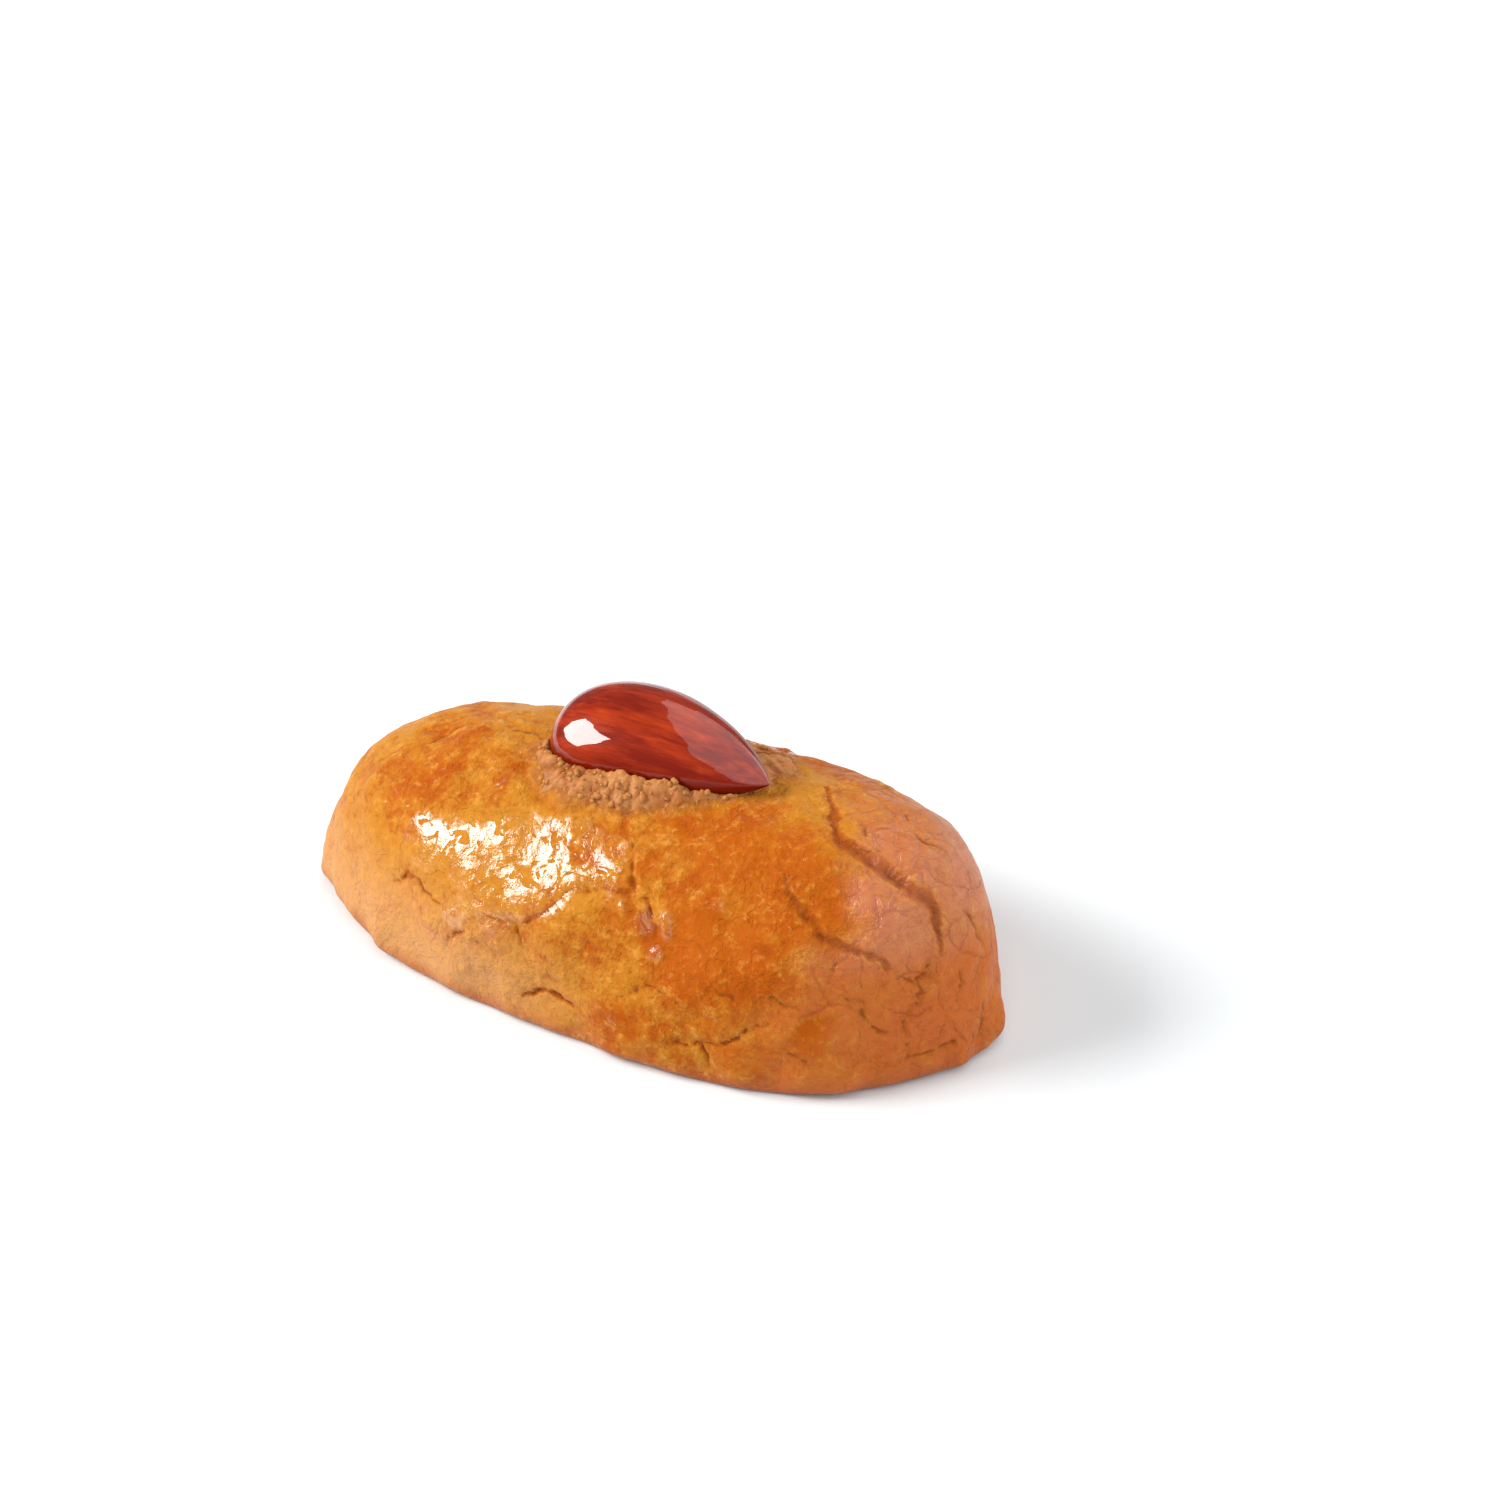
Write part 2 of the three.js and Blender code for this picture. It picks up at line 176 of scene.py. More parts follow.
# Where the syrup stands thickest and darkest, as (place along, degrees round, radius in mm, weight).
AMBER_POOLS = [
    (0.39, 25, 9, 1.1),
    (0.21, 23, 6, 0.9),
    (0.36, 50, 8, 1.2),
    (0.54, 35, 6, 0.9),
    (0.1, 34, 3, 0.9),
    (-0.06, 31, 4, 0.7),
    (-0.1, 59, 4, 0.6),
    (0.35, 75, 9, 0.3),
    (0.34, 67, 4, 0.7),
    (0.64, 72, 2.5, 1.5),
    (-0.62, 25, 8, 0.8),
    (-0.59, 4, 8, 0.8),
    (-0.42, 14, 6, 0.6),
    (-0.68, 38, 3, 0.7),
    (0.29, -15, 1.5, 1),
    (-0.31, 83, 1.5, 0.8),
    (0.3, -40, 8, 0.8),
    (-0.3, -50, 9, 0.8),
    (0.55, -50, 6, 0.6),
]
# Plates of crust that baked darkest, in the same form.
BROWN_PLATES = [
    (0.53, -10, 2.5, 0.8),
    (0.68, 4, 4, 0.8),
    (0.8, 1, 4, 0.9),
    (0.9, 4, 4, 0.9),
    (0.71, 30, 4.5, 0.8),
    (0.8, 38, 5, 0.9),
    (0.94, 35, 6, 1),
    (0.95, 60, 9, 1),
    (0.8, 72, 8, 0.9),
    (0.66, 88, 7, 0.7),
    (-0.89, 41, 2.5, 0.5),
    (-0.9, 69, 2.5, 0.5),
    (0.9, -40, 9, 0.9),
]
# Where the syrup dried to a smooth bright skin, in the same form.
GLAZED = [
    (-0.5, 50, 4, 1),
    (-0.4, 48, 5.5, 1),
    (-0.28, 47, 6.5, 1),
    (-0.14, 43, 5.5, 1),
    (-0.04, 38, 4, 1),
    (-0.2, 35, 4, 0.9),
    (-0.6, 44, 2, 0.9),
    (-0.42, 68, 1.6, 0.9),
    (0.24, 43, 1, 1),
    (0.13, 49, 1.2, 0.9),
    (-0.45, -52, 6, 0.9),
    (0.1, -48, 8, 0.9),
    (0.5, -50, 4, 0.7),
    (-0.25, -70, 4, 0.8),
]

# Colours that vary the crust, beside those in the settings.
DEEP_SYRUP = (0.34, 0.056, 0.0004)
# Paler, pinker dough low on the left end: partly unsoaked dough, partly painted sheen and light.
PALE_DOUGH_AND_SHEEN = (0.62, 0.335, 0.165)
# Darker dough towards the floor, where the foot turns under the loaf: painted shade.
FOOT_SHADE = (0.38, 0.1, 0.035)
LIGHT_GRIT = (0.62, 0.26, 0.04)
DARK_GRIT = (0.37, 0.08, 0.002)
HAIR_CRACK = (0.34, 0.062, 0.003)
CRACK_LIP = (0.56, 0.19, 0.02)
# Darkest at the middle of a crack's groove: painted shade in the crack.
CRACK_CORE_SHADE = (0.2, 0.035, 0.001)
# Dark and light specks on the crust's crumb, scattered by noise: painted shade and painted light of grains.
CRUMB_SHADE_SPECKS = (0.27, 0.075, 0.01)
CRUMB_LIGHT_SPECKS = (0.56, 0.26, 0.07)
# Colours that vary the almond, the grains of crumb and the floor.
ALMOND_THREADS = (0.5, 0.06, 0.006)
# Near-black on the almond's lower side: painted shade.
ALMOND_UNDERSIDE_SHADE = (0.13, 0.004, 0.0005)
# Lighter on the tops of the crumb's grains: painted light.
GRAIN_TOP_LIGHT = (0.56, 0.26, 0.08)
GRAIN_SPECKS = (0.34, 0.11, 0.018)
# Dark in the gaps between the crumb's grains: painted shade.
GRAIN_GAP_SHADE = (0.26, 0.06, 0.006)
WHITE_CARD = ((0.762, 0.785, 0.797), (0.777, 0.8, 0.812))

# The middle of the cookie as the camera sees it, and how far that is left of and below the middle of the
# frame, in mm.
VIEWED = (-0.02, -2.17, 11.75)
FRAMING = (9.4, 11.4)
# Area lights, whose powers are in the settings: name, place, size, aim, roll and colour.
LIGHTS = (
    ("key", (-0.565, -0.275, 0.455), (0.5, 0.37), (0, 0, 0.012), 0, (1, 0.99, 0.97)),
    ("panel", (0.643, 0.2, 0.766), (5.8, 2.3), (0, 0.2, 0.012), 0.36, (0.98, 0.99, 1)),
    ("rim", (1.2, 1.9, 0.6), (2, 1.2), (0, 0, 0.012), 0, (1, 1, 1)),
)


class DoughSettings(PropertyGroup):
    """Sizes and colours of the cookie itself."""

    length: FloatProperty(name="Length", description="End to end", default=0.0741, unit="LENGTH")
    width: FloatProperty(name="Width", description="Across the middle", default=0.0373, unit="LENGTH")
    height: FloatProperty(name="Height", description="Of the crown", default=0.0223, unit="LENGTH")
    belt: FloatProperty(name="Belt", description="Height of the widest line", default=0.0017, unit="LENGTH")
    collar: FloatProperty(
        name="Collar", description="Rise of the crumb round the almond", default=0.00055, unit="LENGTH"
    )
    grain: FloatProperty(name="Crumb", description="Size of a grain of crumb", default=0.0008, unit="LENGTH")
    crumbs: IntProperty(name="Crumbs", description="Loose grains on the collar", default=150)
    golden: FloatVectorProperty(
        name="Golden crust", description="Lightly baked", default=(0.47, 0.178, 0.013), subtype="COLOR"
    )
    amber: FloatVectorProperty(
        name="Amber crust", description="Under thick syrup", default=(0.41, 0.087, 0.001), subtype="COLOR"
    )
    brown: FloatVectorProperty(
        name="Brown crust", description="Baked darkest", default=(0.48, 0.104, 0.016), subtype="COLOR"
    )
    crack: FloatVectorProperty(
        name="Crack", description="Soaked dough in a crack", default=(0.36, 0.076, 0.003), subtype="COLOR"
    )
    crumb: FloatVectorProperty(
        name="Crumb", description="Bare crumb round the almond", default=(0.35, 0.112, 0.023), subtype="COLOR"
    )


class AlmondSettings(PropertyGroup):
    """Sizes and colours of the almond."""

    length: FloatProperty(name="Length", description="Blunt end to tip", default=0.0239, unit="LENGTH")
    width: FloatProperty(name="Width", description="Of the broad face", default=0.0122, unit="LENGTH")
    thickness: FloatProperty(name="Thickness", description="Face to face", default=0.0087, unit="LENGTH")
    centre: FloatVectorProperty(
        name="Centre",
        description="In the loaf's frame",
        default=(-0.00034, 0.00051, 0.0234),
        subtype="TRANSLATION",
    )
    lie: FloatVectorProperty(
        name="Lie", description="Roll, dip and turn", default=(0.32, -0.065, -0.056), subtype="EULER"
    )
    dark: FloatVectorProperty(
        name="Dark skin", description="Between the veins", default=(0.17, 0.007, 0.0008), subtype="COLOR"
    )
    bright: FloatVectorProperty(
        name="Bright skin", description="Along the veins", default=(0.36, 0.028, 0.002), subtype="COLOR"
    )


class StudioSettings(PropertyGroup):
    """The camera and lights."""

    azimuth: FloatProperty(
        name="Azimuth", description="Camera's turn from -Y", default=math.radians(26), unit="ROTATION"
    )
    elevation: FloatProperty(
        name="Elevation", description="Above the floor", default=math.radians(38), unit="ROTATION"
    )
    distance: FloatProperty(name="Distance", description="Camera to cookie", default=1.0, unit="LENGTH")
    lens: FloatProperty(name="Lens", description="Focal length in mm", default=240.3)
    key: FloatProperty(name="Key", description="Power of the light at the left", default=8.6, unit="POWER")
    panel: FloatProperty(name="Panel", description="Power of the panel overhead", default=50, unit="POWER")
    rim: FloatProperty(name="Rim", description="Power of the light at the back", default=8, unit="POWER")
    surround: FloatProperty(name="Surround", description="Brightness of the room", default=0.17)


# --- shape --------------------------------------------------------------------------------------------------


def smoothstep(x, low, high):
    """0 below low and 1 above high, smooth between, or the other way round where low is the higher."""
    share = np.clip((x - low) / (high - low), 0, 1)
    return share * share * (3 - 2 * share)


def scramble(cell, seed):
    """A random value from 0 to 1 for each whole-numbered cell."""
    key = cell[:, 0] * 73856093 ^ cell[:, 1] * 19349663 ^ cell[:, 2] * 83492791 ^ (seed * 2654435)
    key = (key ^ (key >> 13)) * 1274126177 & 0xFFFFFFFF
    key = (key ^ (key >> 16)) * 2246822519 & 0xFFFFFFFF
    return key / 0x100000000


def noise(points, size, seed=0):
    """Smooth random values from -1 to 1 whose lumps are about size across."""
    q = points / size + seed * 13.7
    cell = np.floor(q).astype(np.int64)
    f = q - cell
    f = f * f * (3 - 2 * f)
    total = np.zeros(len(points))
    for dx, dy, dz in CORNERS:
        weight = np.abs(1 - dx - f[:, 0]) * np.abs(1 - dy - f[:, 1]) * np.abs(1 - dz - f[:, 2])
        total += weight * (2 * scramble(cell + (dx, dy, dz), seed) - 1)
    return total


def layers(points, *waves):
    """Noises added up, each given as its height, the size of its lumps and its seed."""
    return sum(height * noise(points, size, seed) for height, size, seed in waves)


def stray(points, size, seeds):
    """A smooth random push for each point, from -1 to 1 along each axis."""
    return np.stack([noise(points, size, seed) for seed in seeds], axis=1)


def grains(points, size, seed):
    """Distance to the nearest of many scattered seeds, in shares of their spacing."""
    q = points / size + seed * 7.3
    cell = np.floor(q).astype(np.int64)
    nearest = np.full(len(points), np.inf)
    for step in NEIGHBOURS:
        other = cell + step
        place = other + np.stack([scramble(other, seed + k) for k in range(3)], axis=1)
        nearest = np.minimum(nearest, np.linalg.norm(place - q, axis=1))
    return nearest


def cap(x):
    """The height of a unit ball's top at a distance from its middle, and 0 past its edge."""
    return np.sqrt(np.maximum(1 - x**2, 0))


def swell(t, terms):
    """A factor that departs from 1 by a polynomial without a constant term."""
    return 1 + sum(k * t ** (i + 1) for i, k in enumerate(terms))


def dough_size(dough):
    """Length, width, height and belt, in mm."""
    return [v / MM for v in (dough.length, dough.width, dough.height, dough.belt)]


def loaf(d, size):
    """Where directions from the middle of a ball land on the smooth loaf of a dough_size."""
    length, width, height, belt = size
    ring = np.maximum(np.hypot(d[:, 1], d[:, 2]), 1e-9)
    rise = np.abs(d[:, 2]) / ring
    side = np.abs(d[:, 1]) / ring
    top = d[:, 2] > 0
    square = np.where(top, (rise**SQUARENESS + side**SQUARENESS) ** (-1 / SQUARENESS), 1)
    blunt = np.maximum(1 - d[:, 0] ** 2, 1e-9) ** ((END_POWER - 1) / 2)
    curl = np.sin(np.pi / 2 * np.minimum(-d[:, 2] / FOOT_ROLL, 1))
    x = length / 2 * d[:, 0]
    y = width / 2 * d[:, 1] * square * blunt * swell(d[:, 0], PLAN_SWELL) - BOW * d[:, 0] ** 2
    crown = belt + (height - belt) * d[:, 2] * square * swell(d[:, 0], CROWN_SWELL)
    return np.stack([x, y, np.where(top, crown, belt * (1 - curl))], axis=1)


def loaf_normals(d, size):
    """The smooth loaf's points in given directions, and which way its surface faces there."""
    step = 1e-3
    along = np.cross((0.0, 0.0, 1.0), d)
    polar = np.linalg.norm(along, axis=1) < 0.1
    along[polar] = np.cross((0.0, 1.0, 0.0), d[polar])
    along /= np.linalg.norm(along, axis=1, keepdims=True)
    across = np.cross(d, along)
    here = loaf(d, size)
    legs = []
    for way in (along, across):
        ahead = d + way * step
        legs.append(loaf(ahead / np.linalg.norm(ahead, axis=1, keepdims=True), size) - here)
    normal = np.cross(*legs)
    return here, normal / np.maximum(np.linalg.norm(normal, axis=1, keepdims=True), 1e-12)


def direction(along, degrees):
    """The directions of places along the loaf, at degrees round from the crown."""
    along, angle = np.asarray(along, float), np.radians(degrees)
    ring = np.sqrt(1 - along**2)
    return np.stack([along, -np.sin(angle) * ring, np.cos(angle) * ring], axis=-1)


def lumps(p):
    """Low lumps from rolling the dough by hand."""
    x, y, z = p.T
    return (
        0.26 * np.sin(0.23 * x + 0.9) * np.sin(0.31 * y + 0.27 * z + 0.4)
        + 0.17 * np.sin(0.52 * x - 0.34 * y + 1.7) * np.sin(0.45 * z + 0.2 * x)
        + 0.1 * np.sin(0.95 * x + 0.6 * y) * np.sin(0.8 * z - 0.5 * y + 1.1)
    )


def foot_swell(p, size):
    """The slack, slightly scalloped edge where the dough spread on its tray."""
    turn = np.arctan2(p[:, 1] / size[1], p[:, 0] / size[0])
    wave = np.sin(13 * turn + 0.6) + 0.7 * np.sin(22 * turn + 2.1) + 0.45 * np.sin(37 * turn)
    return 0.26 * wave * (1 - smoothstep(p[:, 2], 2, 8))


def mounds(p, size, spots):
    """The rise of smooth mounds, or of hollows where their height is negative."""
    rise = np.zeros(len(p))
    for along, degrees, reach, height in spots:
        centre = loaf(direction([along], [degrees]), size)[0]
        rise += height * np.exp(-((np.linalg.norm(p - centre, axis=1) / reach) ** 2))
    return rise


def zone(p, spots, size):
    """A soft mask round each spot, its edge broken up."""
    total = np.zeros(len(p))
    ragged = p + 1.6 * stray(p, 4, (11, 12, 13))
    for along, degrees, radius, weight in spots:
        centre = loaf(direction([along], [degrees]), size)[0]
        away = np.linalg.norm(ragged - centre, axis=1)
        total = np.maximum(total, weight * (1 - smoothstep(away, 0.25 * radius, 1.35 * radius)))
    return total


def spline(points, count):
    """An even-ish Catmull-Rom curve through the points."""
    p = np.array([points[0], *points, points[-1]], float)
    t = np.linspace(0, len(points) - 1 - 1e-9, count)
    i, f = np.floor(t).astype(int), (t % 1)[:, None]
    a, b, c, d = p[i], p[i + 1], p[i + 2], p[i + 3]
    return 0.5 * (2 * b + (c - a) * f + (2 * a - 5 * b + 4 * c - d) * f**2 + (3 * b - a - 3 * c + d) * f**3)


def crack_relief(p, size):
    """How far each point sinks into a crack and slumps beside one, in mm.

    Also how near each is to a crack, and masks of the cracks and of their cores.
    """
    sunk, slump, near, mask, cores = np.zeros((5, len(p)))
    wandering = p + (0.3 * stray(p, 1.6, (1, 2, 3)) + 0.28 * stray(p, 0.7, (4, 5, 6)))
    for half, deep, route in CRACKS:
        curve = spline(route, CRACK_STEPS)
        line = loaf(direction(curve[:, 0], curve[:, 1]), size)
        low, high = line.min(0) - CRACK_REACH, line.max(0) + CRACK_REACH
        close = np.flatnonzero(((p > low) & (p < high)).all(1))
        away = np.linalg.norm(wandering[close, None, :] - line[None], axis=2)
        share = away.argmin(1) / (CRACK_STEPS - 1)
        away = away.min(1)
        thin = np.sin(np.pi * (0.06 + 0.88 * share)) ** 0.5
        wide = half * thin * (1 + 0.35 * noise(p[close], 2.2, 7))
        groove = (1 - smoothstep(away, 0.15 * wide, 1.25 * wide)) * thin
        core = (1 - smoothstep(away, 0, 0.3 + 0.4 * wide)) * thin
        beside = thin * np.exp(-((away / (2 * half + 0.6)) ** 2))
        stained = (1 - smoothstep(away, 0.5 * wide, 1.6 * wide)) * min(1, 0.4 + deep / 2)
        for total, here in (
            (sunk, deep * (0.6 * groove + 0.5 * core)),
            (slump, 0.4 * deep * beside),
            (near, beside),
            (mask, stained),
            (cores, core),
        ):
            total[close] = np.maximum(total[close], here)
    return sunk, slump, near, mask, cores


def collar_place(p):
    """Each point's share of the collar's ellipse in plan, and its angle round it."""
    dx, dy = p[:, 0] - COLLAR_CENTRE[0], p[:, 1] - COLLAR_CENTRE[1]
    c, s = math.cos(COLLAR_TURN), math.sin(COLLAR_TURN)
    u, v = (dx * c + dy * s) / COLLAR_HALF[0], (dy * c - dx * s) / COLLAR_HALF[1]
    return np.hypot(u, v), np.arctan2(v, u)


def collar_plan(share, turn):
    """Places in plan, in mm, at shares of the collar's ellipse and angles round it."""
    c, s = math.cos(COLLAR_TURN), math.sin(COLLAR_TURN)
    u, v = COLLAR_HALF[0] * share * np.cos(turn), COLLAR_HALF[1] * share * np.sin(turn)
    return np.stack([COLLAR_CENTRE[0] + u * c - v * s, COLLAR_CENTRE[1] + u * s + v * c], axis=1)


def collar_relief(p, size, height):
    """How far the collar, of a height in mm, stands out, and masks of its crumb and the groove round it."""
    share, turn = collar_place(p)
    on_top = p[:, 2] > size[2] / 2
    ragged = share + layers(p, (0.07, 3, 21), (0.04, 1.2, 22))
    raised = on_top * (1 - smoothstep(ragged, 0.7, 1.05))
    crumb = on_top * (1 - smoothstep(ragged + 0.05 * noise(p, 0.7, 23), 0.86, 1.04))
    narrow_side = smoothstep(-np.cos(turn - 0.3), 0.3, 0.9)
    groove = on_top * np.exp(-(((ragged - 1.02) / 0.06) ** 2)) * (0.1 + 0.9 * narrow_side)
    lean = COLLAR_LEAN * np.cos(turn + 3 * np.pi / 4)
    return raised * (height + lean) - 0.25 * groove, crumb, groove


def almond_size(almond):
    """Length, width and thickness, in mm."""
    return [v / MM for v in (almond.length, almond.width, almond.thickness)]


def almond_turn(almond):
    return np.array(Euler(almond.lie, "XYZ").to_matrix())


def into_almond(p, almond):
    """Points of the loaf's frame in the almond's own frame, blunt end to tip along X."""
    return (p - np.array(almond.centre) / MM) @ almond_turn(almond)


def out_of_almond(q, almond):
    """Points of the almond's own frame in the loaf's frame."""
    return q @ almond_turn(almond).T + np.array(almond.centre) / MM


def almond_radius(u):
    """The half-width at a share of the length from the blunt end, 1 at the widest place."""
    widest = ALMOND_BLUNT / (ALMOND_BLUNT + ALMOND_POINT)
    u = np.clip(u, 0, 1)
    shape = u**ALMOND_BLUNT * (1 - u) ** ALMOND_POINT
    return shape / (widest**ALMOND_BLUNT * (1 - widest) ** ALMOND_POINT)


def almond_bow(u):
    """How far the middle line lies back, in mm, at a share of the length."""
    return ALMOND_BOW * 4 * u * (1 - u)


def almond_points(d, almond):
    """The almond's skin and its veins in given directions, whose X runs blunt end to tip, in mm."""
    length, width, thick = almond_size(almond)
    u = (1 + d[:, 0]) / 2
    ring = np.maximum(np.hypot(d[:, 1], d[:, 2]), 1e-9)
    turn = np.arctan2(d[:, 2], d[:, 1])
    around = np.stack([2.2 * np.cos(turn), 2.2 * np.sin(turn), 1.1 * u + 0.12 * np.sin(3 * turn)], axis=1)
    veins = layers(around, (0.5, 0.42, 61), (0.3, 0.2, 62))
    radius = almond_radius(u) * (1 + 0.011 * veins * np.sin(np.pi * u) ** 0.5)
    y = d[:, 1] / ring * radius * width / 2 + almond_bow(u)
    z = d[:, 2] / ring * radius * thick / 2
    p = np.stack([(u - 0.5) * length, y, z], axis=1)
    p += 0.05 * noise(p, 3.5, 63)[:, None] * (d * (0, 1, 1))
    return out_of_almond(p, almond), veins


def seat(p, almond, gap=0.12):
    """The points, with those inside the almond moved down to lie under it."""
    length, width, thick = almond_size(almond)
    q = into_almond(p, almond)
    u = q[:, 0] / length + 0.5
    radius = np.maximum(almond_radius(u), 1e-6)
    half_width, half_thick = width / 2 * radius + gap, thick / 2 * radius + gap
    across = (q[:, 1] - almond_bow(u)) / half_width
    inside = (np.abs(q[:, 0]) < length / 2) & (across**2 + (q[:, 2] / half_thick) ** 2 < 1)
    q[inside, 2] = -(half_thick * cap(across))[inside]
    return out_of_almond(q, almond)


def crust_points(d, dough, almond):
    """The finished crust in given directions, in mm, with its masks."""
    size = dough_size(dough)
    p, normal = loaf_normals(d, size)
    above = smoothstep(p[:, 2], 0, 1.5)
    collar, crumb, groove = collar_relief(p, size, dough.collar / MM)
    crust = above * (1 - crumb)
    sunk, slump, near, crack, core = crack_relief(p, size)
    amber, brown, glazed = (zone(p, spots, size) for spots in (AMBER_POOLS, BROWN_PLATES, GLAZED))
    # Browner towards the blunt end: partly crust baked browner, partly painted shade on the end turned away
    # from the key light.
    blunt_end = smoothstep(p[:, 0] + layers(p, (5, 5, 36), (2, 2, 37)), 6, 30)
    brown = np.maximum(brown, 0.85 * blunt_end * (1 - amber))
    crackled = smoothstep(brown + 0.6 * noise(p, 9, 34), 0.35, 0.9) * crust
    pebbly = smoothstep(noise(p, 7, 35) + 0.25 - glazed, 0, 0.7) * (1 - 0.6 * brown)
    pebbly = np.maximum(pebbly, 0.6 * near) * (1 - crumb)
    grit = pebbly * (1 - 2 * grains(p + 0.2 * stray(p, 2.4, (31, 32, 33)), 1.6, 8))
    ripple = layers(p, (0.12, 3.4, 43), (0.07, 1.7, 44), (0.04, 0.9, 41), (0.03, 0.55, 42))
    ripple += 0.13 * grit * (1 + 0.3 * near)
    beads = mounds(p, size, BEADS)
    rise = above * (lumps(p) + foot_swell(p, size) + mounds(p, size, HAND_MARKS) + beads)
    rise += collar + crust * (ripple - slump - sunk) + crumb * layers(p, (0.25, 1.1, 51), (0.12, 0.6, 52))
    p = p + normal * rise[:, None]
    p[:, 2] = np.maximum(p[:, 2], 0)
    bead = smoothstep(beads, 0.17, 0.3)
    masks = {
        # The groove round the collar takes the crack's darker colour: partly soaked dough, partly painted
        # shade in the crease.
        "crack": np.maximum(crack * crust, 0.45 * groove),
        "core": core * crust,
        "grit": grit,
        "crackled": crackled,
        "crumb": crumb,
        "amber": amber,
        "brown": brown,
        "glazed": np.maximum(glazed, bead) * (1 - crumb),
        "bead": bead,
        "pebbly": pebbly,
    }
    return seat(p, almond), masks


# --- meshes -------------------------------------------------------------------------------------------------


def points_of(bm):
    return np.array([v.co for v in bm.verts])


def move_to(bm, points):
    for v, p in zip(bm.verts, points):
        v.co = p


def unit_ball(cuts):
    """A cube cut into quads, fewest near its underside, and the points that blow it up to a ball."""
    bm = bmesh.new()
    bmesh.ops.create_cube(bm, size=2)
    for axis, count in enumerate(cuts):
        edges = [e for e in bm.edges if abs((e.verts[0].co - e.verts[1].co)[axis]) > 1e-6]
        bmesh.ops.subdivide_edges(bm, edges=edges, cuts=count - 1, use_grid_fill=True)
    x, y, z = points_of(bm).T
    z = np.interp(z, (-1, -0.7, 1), (-1, -FOOT_ROLL, 1))
    ball = np.stack(
        [
            x * np.sqrt(1 - y**2 / 2 - z**2 / 2 + y**2 * z**2 / 3),
            y * np.sqrt(1 - z**2 / 2 - x**2 / 2 + z**2 * x**2 / 3),
            z * np.sqrt(1 - x**2 / 2 - y**2 / 2 + x**2 * y**2 / 3),
        ],
        axis=1,
    )
    return bm, ball / np.linalg.norm(ball, axis=1, keepdims=True)


def almond_ball(around, along):
    """A unit ball with its poles on the X axis."""
    bm = bmesh.new()
    bmesh.ops.create_uvsphere(bm, u_segments=around, v_segments=along, radius=1)
    bmesh.ops.rotate(bm, verts=bm.verts, matrix=Matrix.Rotation(math.pi / 2, 3, "Y"))
    return bm


def unit_ring(around, along):
    """A ring of radius RING round the Z axis, made by spinning a unit circle."""
    bm = bmesh.new()
    bmesh.ops.create_circle(bm, segments=around, radius=1)
    bmesh.ops.rotate(bm, verts=bm.verts, matrix=Matrix.Rotation(math.pi / 2, 3, "X"))
    bmesh.ops.translate(bm, verts=bm.verts, vec=(RING, 0, 0))
    bmesh.ops.spin(
        bm, geom=bm.edges[:], axis=(0, 0, 1), cent=(0, 0, 0), steps=along, angle=2 * math.pi, use_merge=True
    )
    bmesh.ops.recalc_face_normals(bm, faces=bm.faces)
    return bm


def part_shift(almond):
    """How far the loaf's frame was moved in plan to centre the part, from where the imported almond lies."""
    bm = almond_ball(60, 40)
    p, _ = almond_points(points_of(bm), almond)
    bm.free()
    low, high = (np.array(c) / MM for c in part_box("almond"))
    shift = (low + high) / 2 - (p.min(0) + p.max(0)) / 2
    return np.array([shift[0], shift[1], 0])


def keep_masks(bm, masks):
    for name, values in masks.items():
        layer = bm.verts.layers.float.new(name)
        for v, value in zip(bm.verts, values.tolist()):
            v[layer] = value


def add_piece(name, bm, material, node=None):
    """Makes a smooth-shaded object of a bmesh, riding on the part."""
    mesh = bpy.data.meshes.new(name)
    bm.to_mesh(mesh)
    bm.free()
    mesh.shade_smooth()
    mesh.materials.append(material)
    piece = bpy.data.objects.new(name, mesh)
    bpy.context.collection.objects.link(piece)
    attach(piece, ROOT)
    if node:
        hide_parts(node)
    return piece


# --- materials ----------------------------------------------------------------------------------------------


class Value:
    """A node's output that can be used in Python arithmetic."""

    def __init__(self, recipe, socket):
        self.recipe, self.socket = recipe, socket

    def math(self, operation, first, second):
        return self.recipe.node("Math", {"operation": operation}, {0: first, 1: second})

    def __add__(self, other):
        return self.math("ADD", self, other)

    def __sub__(self, other):
        return self.math("SUBTRACT", self, other)

    def __rsub__(self, other):
        return self.math("SUBTRACT", other, self)

    def __mul__(self, other):
        return self.math("MULTIPLY", self, other)

    def at_least(self, other):
        return self.math("MAXIMUM", self, other)

    def over(self, low, high):
        """0 below low and 1 above high, smooth between."""
        settings = {"interpolation_type": "SMOOTHSTEP"}
        return self.recipe.node("MapRange", settings, {"Value": self, "From Min": low, "From Max": high})

    __radd__ = __add__
    __rmul__ = __mul__


